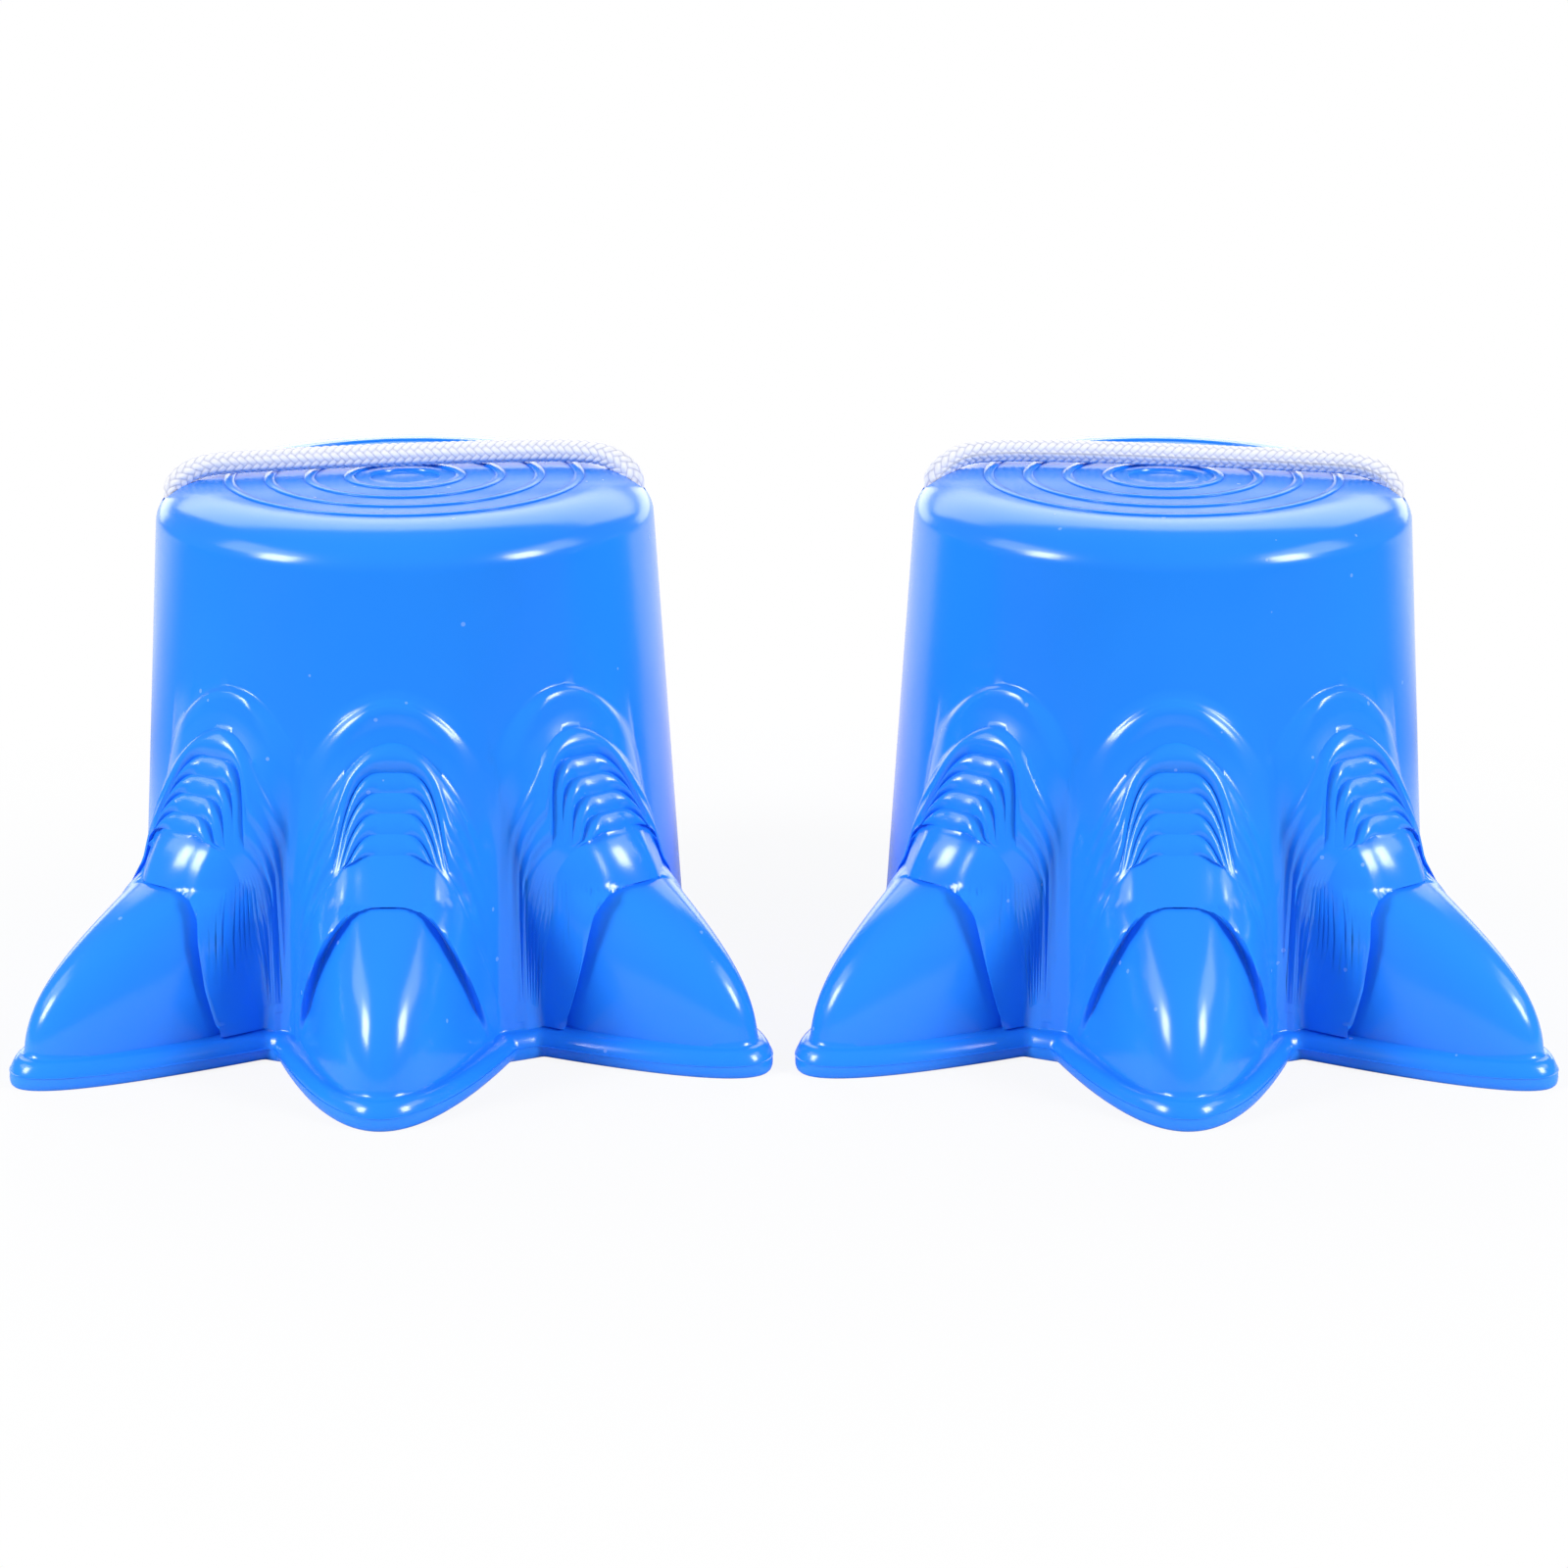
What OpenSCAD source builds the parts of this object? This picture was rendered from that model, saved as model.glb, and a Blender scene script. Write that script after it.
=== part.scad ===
// Pair of children's bucket stilts with clawed toes, standing on the floor.
// The toes point along -Y and the stilts stand side by side along X.
// Each stilt is a hollow moulding with a rope laid across its tread.

/* [Pair] */
// Distance between the axes of the two stilts
axis_spacing = 183; // [178:1:240]
// Angle by which each stilt turns its toes towards the other
toe_in_deg = 1.2; // [0:0.1:2]

/* [Cup] */
// Height from the floor to the tread
height = 127; // [115:1:145]
// Radius of the flat tread
tread_r = 44.8; // [44.4:0.2:46]
// Radius of the wall right under the shoulder
wall_r = 60; // [58:0.5:62]
// Height of the rounded shoulder
shoulder_drop = 9.6; // [9:0.1:10]
// Angle by which the wall widens downwards
draft_deg = 3.64; // [2:0.1:5]
// Thickness of the moulding
wall_t = 2.2; // [1.6:0.1:3]

/* [Tread rings] */
// Number of raised rings
ring_count = 4; // [2:1:4]
// Radius of the outer ring, at the middle of its width
ring_r = 42.7; // [42:0.1:43.5]
// Distance from one ring to the next
ring_pitch = 9.55; // [9:0.05:10]
// Width of a ring at its foot
ring_w = 1.6; // [1:0.1:2.4]
// Height of a ring over the tread
ring_h = 0.7; // [0.4:0.1:1]
// Radius of the sunk disc in the middle
disc_r = 9.2; // [7:0.1:11]
// Depth of the sunk disc
disc_depth = 0.5; // [0.3:0.1:1]

/* [Toes] */
// Height of the top of the arch from which a toe grows
arch_h = 88; // [84:0.5:94]
// Focal length of the arch's outline, larger for a wider arch
arch_focus = 29.4; // [26:0.2:33]
// Direction of a side toe at the top of its arch
side_deg_top = 41.5; // [40:0.5:43]
// Further turn of the outer toe's direction down to the floor
outer_turn_deg = 6.4; // [4:0.2:9]
// Further turn of the inner toe's direction down to the floor
inner_turn_deg = 7.4; // [5:0.2:10]
// Turn of the middle toe's direction down to the floor, away from the outer toe
middle_turn_deg = -1.1; // [-2:0.1:1]
// Angle from the middle toe's spine to its edge at the floor
middle_half_deg = 20.5; // [19:0.5:22]
// Angle from a side toe's spine to its edge at the floor
side_half_deg = 18.2; // [17:0.2:20]
// Angle from a toe's spine to its edge right below the arch
top_half_deg = 22.5; // [21:0.5:24]
// The same on the far side of a side toe, away from the middle toe
far_half_deg = 16; // [15:0.5:19]
// Distance from the axis to the foot of the middle claw
middle_reach = 106.7; // [98:0.1:114]
// Distance from the axis to the foot of the outer claw
outer_reach = 115.5; // [105:0.1:119]
// Distance from the axis to the foot of the inner claw
inner_reach = 109.8; // [100:0.1:112]
// Height at which the claw leaves its fold
claw_h = 41.5; // [38:0.5:44]
// How far the claw stands out from the wall at its fold
claw_out = 15; // [12:0.5:17]
// Height of the step round the arch
arch_step = 1; // [0.4:0.1:1.6]
// Height of the knuckle over its crease
knuckle_out = 1.3; // [0.6:0.1:2]
// Height of a wrinkle over its crease
wrinkle_out = 0.9; // [0.4:0.1:1.4]
// Number of wrinkles between the knuckle and the fold
wrinkle_count = 4; // [3:1:5]
// Height of the fold of skin over the flesh of the toe
fold_out = 1.2; // [0.8:0.1:2]
// How far the fold's lip stands over the claw
lip_out = 1; // [0.5:0.1:1.5]

/* [Rim] */
// Height of the rounded bead round the open bottom
rim_h = 6.6; // [5:0.1:8]
// How far the bead stands out
rim_out = 3.1; // [2:0.1:4]

/* [Rope] */
// Diameter of the rope
rope_d = 5; // [4:0.1:5.6]
// Diameter of the holes that the rope runs through
hole_d = 6.8; // [6.4:0.1:7.4]
// Distance from the axis to the middle of a rope hole
hole_r = 56.2; // [56:0.1:56.5]
// Direction of the rope hole on the outer side, counted from the front
outer_hole_deg = 89; // [87:0.5:91]
// Direction of the rope hole on the inner side, counted from the front
inner_hole_deg = 98; // [96:0.5:100]
// Lean of the rope holes from the vertical
hole_tilt_deg = 35; // [32:1:38]
// Turns of the rope that is put away inside the cup
coil_turns = 5.25; // [3.25:1:5.25]
// Radius of the coil's outer turn
coil_r = 36; // [30:0.5:37]
// Gap between neighbouring turns of the coil
coil_gap = 0.8; // [0.6:0.1:1.5]

/* [Hidden] */

shell_blue = [0.16, 0.50, 0.98];
rope_white = [0.93, 0.92, 0.94];

// Cut through everything that a hole or a trim has to leave behind
overrun = 4;
// Distance by which a cut or a seat reaches into its neighbour
bite = 0.4;
// Smallest step that keeps two rows of points apart
hair = 0.01;

// Shares of the quarter turn at which the shoulder has its rows
shoulder_shares = [0.22, 0.42, 0.6, 0.78, 0.92];
// Height where the wall ends and the shoulder begins
shoulder_z = height - shoulder_drop;
// Rows of the plain wall, as shares of the height from the arch to the shoulder
wall_shares = [0.12, 0.5];

// Height where the bead has its widest row
bead_mid = rim_h / 2;
// Angles at which the bead has its rows, from its underside up
bead_degs = [-56, -20, 15, 50, 78];
// Share of the bead's width that its flat underside keeps
bead_foot_share = 0.56;
// Height of the foot of a claw, right over the bead by a share of the wall
claw_foot_share = 0.2;
foot_z = rim_h + wall_t * claw_foot_share;

// Creases that part the knuckle, the wrinkles and the fold, as shares of the arch's height
knuckle_top_share = 0.89;
knuckle_foot_share = 0.813;
fold_top_share = 0.612;
knuckle_top = arch_h * knuckle_top_share;
knuckle_foot = arch_h * knuckle_foot_share;
fold_top = arch_h * fold_top_share;
wrinkle_pitch = (knuckle_foot - fold_top) / wrinkle_count;
// Width of the soft edge of a step
step_w = 1.2;
// Half height of the sharp lip where the fold ends over the claw
lip_h = 0.3;
// How far below its lip the round of the fold would come back to the toe
fold_under = 2.4;
// Powers that shape a roll: how far its crest sits below its middle, and how full it is
roll_lean_power = 0.8;
roll_full_power = 0.7;
// Share of a wrinkle's height that is left as a smooth band at the sides of a toe
faded_share = 0.6;
// Curve of the crease lines: they drop towards the sides of a toe like the arch does
crease_focus_share = 0.58;
crease_focus_gain = 0.17;
// Half width over which the wrinkles keep their full depth, and where they have faded
wrinkle_full_w = 12;
wrinkle_fade_w = 18;
// Half width over which the skin keeps its full height, and where it has thinned out
skin_full_w = 15;
skin_fade_w = 26;
// Powers by which the middle toe, the side toes and the claws swell downwards
middle_power = 2.2;
side_power = 1.3;
claw_power = 2.2;
// Power by which a toe's direction turns
turn_power = 1.8;
// Width of the soft seam where a toe meets the wall
seam_w = 1.2;
// Distance sideways up to which a row of points follows the crease lines down
row_follow_w = 36;
// Least spacing of rows that the floor squeezes together, as a share of their full spacing
row_squeeze_share = 0.12;

// Columns of points: close together over the toes, wide apart behind
front_deg = 81;
front_cols = 54;
back_cols = 18;

function lerp(a, b, t) = a + (b - a) * t;
function clamp01(t) = min(1, max(0, t));
// An angle brought to between minus and plus half a turn
function wrapped(deg) = deg - 360 * round(deg / 360);
function soft_step(t) = clamp01(t) * clamp01(t) * (3 - 2 * clamp01(t));
// Larger of two radii, with a soft seam where they are alike
function soft_max(a, b, w) =
    let (h = clamp01((a - b + w) / (2 * w))) lerp(b, a, h) + w * h * (1 - h);

// Outer radius of the plain cup at a height
function cup_r(z) = wall_r + (shoulder_z - z) * tan(draft_deg);

// Direction of a toe at a height: side is -1 for the outer, 0 the middle, 1 the inner toe
function toe_deg(z, side) =
    side * side_deg_top + toe_turn(side) * (1 - pow(clamp01(z / arch_h), turn_power));

function toe_turn(side) = side < 0 ? -outer_turn_deg : side > 0 ? inner_turn_deg : middle_turn_deg;
function toe_reach(side) = side < 0 ? outer_reach : side > 0 ? inner_reach : middle_reach;

// How far the flesh under the fold's lip stands out from the wall
flesh_out = claw_out + lip_out - arch_step
    - fold_out * roll((fold_top - claw_h) / (fold_top - claw_h + fold_under));

// How far the spine of a toe stands out from the wall
function spine_out(z, side) =
    z < claw_h
    ? let (
        t = (claw_h - z) / (claw_h - foot_z),
        full = toe_reach(side) - cup_r(foot_z) - claw_out
      ) claw_out + full * (t < 1 ? 1 - pow(1 - t, claw_power) : 1 + pow(t - 1, claw_power))
    : flesh_out * pow(clamp01((arch_h - z) / (arch_h - claw_h)), side == 0 ? middle_power : side_power);

// How fast a toe's surface falls away past its edge
edge_fall = 2;
radian = 180 / PI;

// Angle from the spine of a toe to its edge, near the middle toe or on the far side
function half_deg(z, side, far) = min(
    lerp(side == 0 ? middle_half_deg : side_half_deg, far ? far_half_deg : top_half_deg, clamp01(z / arch_h)),
    asin(clamp01(sqrt(arch_focus * max(0, arch_h - z)) / wall_r)));

// Radius of one toe in a direction: its section is a parabola that meets the cup at its edges
function toe_r(deg, z, side, grow) =
    let (
        d = wrapped(deg - toe_deg(z, side)),
        c = cos(d),
        s = sin(d),
        edge_r = cup_r(z) + grow,
        edge = half_deg(z, side, s * side > 0) + grow / wall_r * radian,
        tip = edge_r + spine_out(z, side),
        v = edge_r * sin(edge),
        focus = v * v / max(tip - edge_r * cos(edge), hair)
    )
    c <= 0 || edge <= 0 ? 0
    : abs(d) >= edge ? edge_r * (1 - edge_fall * sin(abs(d) - edge))
    : 2 * tip / (c + sqrt(c * c + 4 * tip * s * s / focus));

// Radius of the cup with its toes, grown outwards or, with a negative value, inwards
function body_r(deg, z, grow) =
    let (
        plain = cup_r(z) + grow,
        outer = soft_max(toe_r(deg, z, -1, grow), plain, seam_w),
        middle = soft_max(toe_r(deg, z, 0, grow), outer, seam_w)
    ) soft_max(toe_r(deg, z, 1, grow), middle, seam_w);

// Distance sideways from the middle of the nearest toe
function off_spine(deg, z, r) =
    min([for (side = [-1, 0, 1]) let (d = deg - toe_deg(z, side))
        cos(d) > 0 ? abs(r * sin(d)) : outer_reach]);

// Focal length of the crease line at a height
function crease_focus(z) = arch_focus * crease_focus_share + z * crease_focus_gain;

// Height of the crease line that runs through a point, taken at the middle of its toe
function crease_z(deg, z, r) = let (v = off_spine(deg, z, r)) z + v * v / crease_focus(z);

// Round roll between two creases
function roll(t) = t <= 0 || t >= 1 ? 0 : pow(sin(180 * pow(t, roll_lean_power)), roll_full_power);

// How far skin, wrinkles and fold stand out at a crease height
function skin_out(c, v) =
    c > arch_h || c <= claw_h ? 0
    : let (
        thin = 1 - soft_step((v - skin_full_w) / (skin_fade_w - skin_full_w)),
        fade = 1 - soft_step((v - wrinkle_full_w) / (wrinkle_fade_w - wrinkle_full_w)),
        in_wrinkles = (knuckle_foot - c) / wrinkle_pitch,
        band = arch_step * soft_step((arch_h - c) / step_w)
      )
      thin * (band + (
        c > knuckle_foot ? knuckle_out * roll((knuckle_top - c) / (knuckle_top - knuckle_foot))
        : c > fold_top ? wrinkle_out * lerp(faded_share, roll(in_wrinkles - floor(in_wrinkles)), fade)
        : fold_out * roll((fold_top - c) / (fold_top - claw_h + fold_under))));

// Outer radius with skin, at one direction and height
function skin_r(deg, z) =
    let (
        bare = body_r(deg, z, 0),
        c = crease_z(deg, z, bare),
        v = off_spine(deg, z, bare)
    ) body_r(deg, z, skin_out(c, v));

function polar(r, deg, z) = [r * sin(deg), -r * cos(deg), z];

column_degs = concat(
    [for (i = [0:front_cols - 1]) lerp(-front_deg, front_deg, i / front_cols)],
    [for (i = [0:back_cols - 1]) lerp(front_deg, 360 - front_deg, i / back_cols)]);
columns = len(column_degs);

// Rows follow the crease lines over the toes, so that each crease runs along a row
function row_z(deg, c) =
    let (
        v = min(off_spine(deg, c, wall_r), row_follow_w),
        follow = clamp01((shoulder_z - c) / (shoulder_z - arch_h)),
        fallen = c - follow * v * v / crease_focus(c)
    ) max(fallen, lerp(foot_z, c, row_squeeze_share));

// Places of the rows, as shares of the height of the claw, the fold, a wrinkle and the knuckle
claw_shares = [0, 0.2, 0.4, 0.6, 0.8];
fold_shares = [0.09, 0.3, 0.6, 0.85];
wrinkle_shares = [0, 0.45];
knuckle_shares = [0, 0.4, 0.75, 1];
crease_rows = concat(
    [for (s = claw_shares) lerp(foot_z, claw_h, s)],
    [claw_h - lip_h, claw_h + lip_h],
    [for (s = fold_shares) lerp(claw_h, fold_top, s)],
    [for (i = [0:wrinkle_count - 1]) for (s = wrinkle_shares) fold_top + (i + s) * wrinkle_pitch],
    [for (s = knuckle_shares) lerp(knuckle_foot, knuckle_top, s)],
    [arch_h - step_w, arch_h],
    [for (s = wall_shares) lerp(arch_h, shoulder_z, s)],
    [shoulder_z]);

// Outline of the shoulder: radius and height at a share of its quarter turn
function shoulder_point(share, out) =
    let (a = 90 * share)
    [lerp(tread_r, wall_r, cos(a)) + out * cos(a), lerp(shoulder_z, height, sin(a)) + out * sin(a)];

outer_rows = concat(
    [[for (d = column_degs) polar(body_r(d, 0, rim_out * bead_foot_share), d, -overrun)]],
    [[for (d = column_degs) polar(body_r(d, 0, rim_out * bead_foot_share), d, hair)]],
    [for (b = bead_degs) let (z = bead_mid * (1 + sin(b)))
        [for (d = column_degs) polar(body_r(d, z, rim_out * cos(b)), d, z)]],
    [for (c = crease_rows) [for (d = column_degs) let (z = row_z(d, c)) polar(skin_r(d, z), d, z)]],
    [for (s = shoulder_shares) let (p = shoulder_point(s, 0))
        [for (d = column_degs) polar(p[0], d, p[1])]],
    [[for (d = column_degs) polar(tread_r, d, height)]],
    [[for (d = column_degs) polar(tread_r, d, height + overrun)]]);

// Rows of the inside: up the wall, and over the shoulder as shares of its quarter turn
inner_shares = [0, 0.18, 0.36, 0.52, 0.68, 0.84, 1];
inner_shoulder_shares = [0.66, 0.36];
inner_top = shoulder_z - wall_t;
inner_rows = concat(
    [[for (d = column_degs) polar(tread_r - wall_t, d, height - wall_t)]],
    [for (s = inner_shoulder_shares) let (p = shoulder_point(s, -wall_t))
        [for (d = column_degs) polar(p[0], d, p[1])]],
    [for (s = [len(inner_shares) - 1:-1:0]) let (z = lerp(0, inner_top, inner_shares[s]))
        [for (d = column_degs) polar(body_r(d, z, -wall_t), d, z)]],
    [[for (d = column_degs) polar(body_r(d, 0, -wall_t), d, -overrun)]]);

shell_rows = concat(outer_rows, inner_rows);
outer_count = len(outer_rows);
row_count = len(shell_rows);

// Triangles between two rows of points
function band_faces(a, b, n) =
    [for (i = [0:n - 1]) let (j = (i + 1) % n) each [[a + i, b + i, b + j], [a + i, b + j, a + j]]];

shell_faces = concat(
    [for (k = [0:row_count - 1]) if (k != outer_count - 1)
        each band_faces(k * columns, ((k + 1) % row_count) * columns, columns)],
    [[for (i = [columns - 1:-1:0]) (outer_count - 1) * columns + i]],
    [[for (i = [0:columns - 1]) outer_count * columns + i]]);

// Facets of the round cuts and rings
round_sides = 96;

// Moulding with its holes, on its own axis
module shell_blank() {
    difference() {
        polyhedron([for (r = shell_rows) each r], shell_faces, convexity = 8);
        translate([-outer_reach * 2, -outer_reach * 2, -overrun * 2])
            cube([outer_reach * 4, outer_reach * 4, overrun * 2]);
        translate([-wall_r, -wall_r, height]) cube([wall_r * 2, wall_r * 2, overrun * 2]);
        translate([0, 0, height - disc_depth]) cylinder(r = disc_r, h = overrun, $fn = round_sides);
        rope_holes();
        rope_grooves();
    }
    for (i = [0:ring_count - 1]) tread_ring(ring_r - i * ring_pitch);
}

// Raised ring with a narrower crest
module tread_ring(r) {
    foot = ring_w / 2;
    crest = ring_w / 4;
    rotate_extrude($fn = round_sides)
        polygon([[r - foot, height - bite], [r + foot, height - bite], [r + foot, height],
                 [r + crest, height + ring_h], [r - crest, height + ring_h], [r - foot, height]]);
}

// Height of the outer surface over a rope hole
hole_z = lerp(shoulder_z, height, sqrt(1 - pow((hole_r - tread_r) / (wall_r - tread_r), 2)));

function hole_deg(side) = side < 0 ? outer_hole_deg : inner_hole_deg;

module rope_holes() {
    for (side = [-1, 1])
        rotate([0, 0, side * hole_deg(side) - 90]) translate([hole_r, 0, hole_z])
            rotate([0, hole_tilt_deg, 0])
                cylinder(d = hole_d, h = (wall_t + overrun) * 2, center = true, $fn = round_sides);
}

// Route of the left rope from its stopper knot over the tread to its coil, on the stilt's own axis
rope_route = [
    [-52.4, -0.9, 118.5], [-53.8, -0.9, 120.5], [-55.3, -1, 122.6], [-55.3, -1, 124.9], [-53.6, -1, 127.1],
    [-50.8, -0.9, 129], [-47, -0.4, 130.1], [-42, 0.7, 130.4], [-36, 2.2, 130.4], [-26, 4.4, 130.4],
    [-13, 6.8, 130.4], [0, 8.9, 130.4], [13, 10.8, 130.4], [26, 12.2, 130.4], [36, 12.6, 130.4],
    [42.5, 11.4, 130.4], [47, 10.4, 130], [50.4, 9.4, 128.8], [53, 8.6, 127], [54.7, 8, 124.9],
    [54.8, 7.7, 122.6], [53.3, 7.5, 120.5], [51.9, 7.3, 118.5], [50.8, 8.2, 115], [50.3, 9.6, 110],
    [50.5, 10.8, 98], [50.8, 11, 84], [51, 11, 70], [51.4, 11, 56], [51.8, 11, 42], [52.2, 11.4, 30],
    [52.4, 13, 20], [51.4, 16.4, 12], [47.4, 21.4, 6], [40, 26.4, 3.4], [31, 29.6, 3]];
rope_sides = 8;

// Clearance of the short grooves by which the rope comes over the shoulder to its holes
groove_gap = 0.4;
// First and last points of the route that lie over a groove, at the left and the right end
groove_spans = [[1, 6], [16, 21]];

module rope_grooves() {
    for (span = groove_spans) {
        path = [for (i = [span[0]:span[1]]) rope_route[i]];
        n = len(path);
        tube(path, rope_d + 2 * groove_gap, rope_sides,
            unit(path[1] - path[0]), unit(path[n - 1] - path[n - 2]), [0, 1, 0]);
    }
}

// Middle of the coil on the floor inside the cup
coil_at = [6, -2];
// Lowest point of the coil over the floor
coil_lift = 0.5;
coil_rings = 24;
coil_sides = 6;
// Direction in which the coil starts, counted from the +X side
coil_start_deg = 80;
// Share of a turn in which the coil climbs to its upper layer
coil_climb_share = 0.5;
// Share of a turn in which the spiral turns back
coil_return_share = 0.08;
// Share of a turn over which the coil's end leaves it, and how far down and out, as shares of the rope
coil_tail_share = 0.14;
coil_tail_down_share = 0.61;
coil_tail_out_share = 1.3;
coil_pitch = rope_d + coil_gap;

// Knots: a pulled-tight overhand knot is a short barrel with the rope's end standing out of it.
// Its width, length, flat face and loose end are shares of the rope's diameter.
knot_d_share = 2.1;
knot_l_share = 2.2;
knot_face_share = 1.3;
knot_tail_share = 1.6;
knot_d = rope_d * knot_d_share;
knot_l = rope_d * knot_l_share;
knot_face_d = rope_d * knot_face_share;
knot_tail_l = rope_d * knot_tail_share;

// Centre line of the coil at a number of turns from its start: in on the lower layer, out on the upper one
function coil_point(t) =
    let (
        inward = -soft_max(-t, t - coil_turns, coil_return_share),
        rise = soft_step((t - coil_turns / 2) / coil_climb_share + 0.5),
        leave = soft_step((t - coil_turns) / coil_tail_share + 1),
        r = coil_r - coil_pitch * inward + rope_d * coil_tail_out_share * leave,
        a = coil_start_deg + 360 * t,
        z = coil_lift + rope_d / 2 + coil_pitch * rise - rope_d * coil_tail_down_share * leave * leave
    ) [coil_at[0] + r * cos(a), coil_at[1] + r * sin(a), z];

coil_steps = round(coil_turns * coil_rings);
coil_wound = [for (i = [0:coil_steps]) coil_point(coil_turns * i / coil_steps)];
// Directions of the coil's two straight ends, which lie level
function level_unit(v) = let (w = [v[0], v[1], 0]) w / norm(w);
coil_in = level_unit([-sin(coil_start_deg), cos(coil_start_deg), 0]);
coil_out = level_unit(coil_wound[coil_steps] - coil_wound[coil_steps - 1]);
coil_first = coil_wound[0] - coil_in * rope_d;
coil_last = coil_wound[coil_steps] + coil_out * rope_d;
coil_path = concat([coil_first], coil_wound, [coil_last]);

// Least gap of the coil to itself, between points that lie more than half a turn apart along it
coil_self_gap = min([for (i = [0:coil_steps]) for (j = [i + coil_rings / 2:1:coil_steps])
    norm(coil_wound[i] - coil_wound[j])]) - rope_d;
echo(coil_self_gap = coil_self_gap);

function unit(v) = v / norm(v);
function direction(path, i, first, last) =
    i == 0 ? first : i == len(path) - 1 ? last
    : unit(unit(path[i + 1] - path[i]) + unit(path[i] - path[i - 1]));
// A side vector that is carried along a path without twisting
function carried(v, along) = unit(v - along * (v * along));

// Solid tube along a path with given directions at its two ends
module tube(path, d, sides, first, last, start_side) {
    n = len(path);
    ways = [for (i = [0:n - 1]) direction(path, i, first, last)];
    side_vectors = [for (i = 0, v = carried(start_side, ways[0]); i < n;
        i = i + 1, v = i < n ? carried(v, ways[i]) : v) v];
    points = [for (i = [0:n - 1]) for (k = [0:sides - 1])
        let (a = 360 * k / sides, u = side_vectors[i], w = cross(ways[i], u))
        path[i] + (u * cos(a) + w * sin(a)) * d / 2];
    faces = concat(
        [for (i = [0:n - 2]) each band_faces(i * sides, (i + 1) * sides, sides)],
        [[for (k = [0:sides - 1]) k]],
        [[for (k = [sides - 1:-1:0]) (n - 1) * sides + k]]);
    polyhedron(points, faces, convexity = 10);
}

// Unit vector down the axis of the rope hole on one side
function hole_way(side) =
    [-side * sin(hole_deg(side)) * sin(hole_tilt_deg), cos(hole_deg(side)) * sin(hole_tilt_deg),
     -cos(hole_tilt_deg)];

module rope_blank() {
    path = concat(rope_route, [coil_first]);
    tube(path, rope_d, rope_sides, -hole_way(-1), coil_in, [0, 1, 0]);
}

module coil_blank() {
    tube(coil_path, rope_d, coil_sides, coil_in, coil_out, [0, 0, 1]);
}

// Knot that starts at the origin and lies along +Z
module knot() {
    round_h = (knot_d - knot_face_d) / 2;
    rotate_extrude($fn = round_sides / 2)
        polygon(concat(
            [[0, 0], [knot_face_d / 2, 0]],
            [for (a = [-60:30:0]) [knot_face_d / 2 + round_h * cos(a), round_h * (1 + sin(a))]],
            [for (a = [0:30:60]) [knot_face_d / 2 + round_h * cos(a), knot_l - round_h * (1 - sin(a))]],
            [[knot_face_d / 2, knot_l], [rope_d / 2, knot_l], [rope_d / 2, knot_l + knot_tail_l],
             [0, knot_l + knot_tail_l]]));
}

// Turns +Z towards a direction
module along(way) {
    rotate([0, acos(way[2]), atan2(way[1], way[0])]) children();
}

module stopper_knot_blank() { translate(rope_route[0]) along(hole_way(-1)) knot(); }
module end_knot_blank() { translate(coil_last) along(coil_out) knot(); }

// Places the left stilt, or mirrors it for the right one
module place(side) {
    points = [for (r = outer_rows) each [for (p = r) p[0] * sin(toe_in_deg) + p[1] * cos(toe_in_deg)]];
    mid_y = (min(points) + max(points)) / 2;
    mirror([side > 0 ? 1 : 0, 0, 0])
        translate([-axis_spacing / 2, -mid_y, 0]) rotate([0, 0, toe_in_deg]) children();
}

module left_shell() { color(shell_blue) place(-1) shell_blank(); }
module right_shell() { color(shell_blue) place(1) shell_blank(); }
module left_rope() { color(rope_white) place(-1) rope_blank(); }
module right_rope() { color(rope_white) place(1) rope_blank(); }
module left_coil() { color(rope_white) place(-1) coil_blank(); }
module right_coil() { color(rope_white) place(1) coil_blank(); }
module left_stopper_knot() { color(rope_white) place(-1) stopper_knot_blank(); }
module right_stopper_knot() { color(rope_white) place(1) stopper_knot_blank(); }
module left_end_knot() { color(rope_white) place(-1) end_knot_blank(); }
module right_end_knot() { color(rope_white) place(1) end_knot_blank(); }

left_shell();
left_rope();
left_coil();
left_stopper_knot();
left_end_knot();
right_shell();
right_rope();
right_coil();
right_stopper_knot();
right_end_knot();
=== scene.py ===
import math

import bmesh
import bpy
import numpy as np
from mathutils import Matrix, Vector


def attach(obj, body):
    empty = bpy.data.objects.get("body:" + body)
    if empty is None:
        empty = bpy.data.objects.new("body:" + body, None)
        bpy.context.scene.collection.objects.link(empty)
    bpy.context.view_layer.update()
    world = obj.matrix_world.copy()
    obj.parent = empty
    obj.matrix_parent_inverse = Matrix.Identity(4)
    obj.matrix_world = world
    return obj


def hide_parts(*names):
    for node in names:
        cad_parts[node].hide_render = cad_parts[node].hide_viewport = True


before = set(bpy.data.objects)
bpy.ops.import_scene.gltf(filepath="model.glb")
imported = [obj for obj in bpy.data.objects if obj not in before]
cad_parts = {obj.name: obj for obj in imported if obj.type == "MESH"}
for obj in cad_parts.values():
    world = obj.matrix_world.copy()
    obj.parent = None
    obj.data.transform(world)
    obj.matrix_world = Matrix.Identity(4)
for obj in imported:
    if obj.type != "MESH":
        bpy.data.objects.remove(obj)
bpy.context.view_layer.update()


# ---- Camera ----
# A long lens in front of the pair, looking down on the treads by about 16.5 degrees.
# The picture is square, so the sensor width holds both ways.

look_down = 0.2883
camera_at = (0, -1.02876, 0.3604)
lens_px, picture_px, sensor_mm = 4530, 1600, 36

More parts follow.
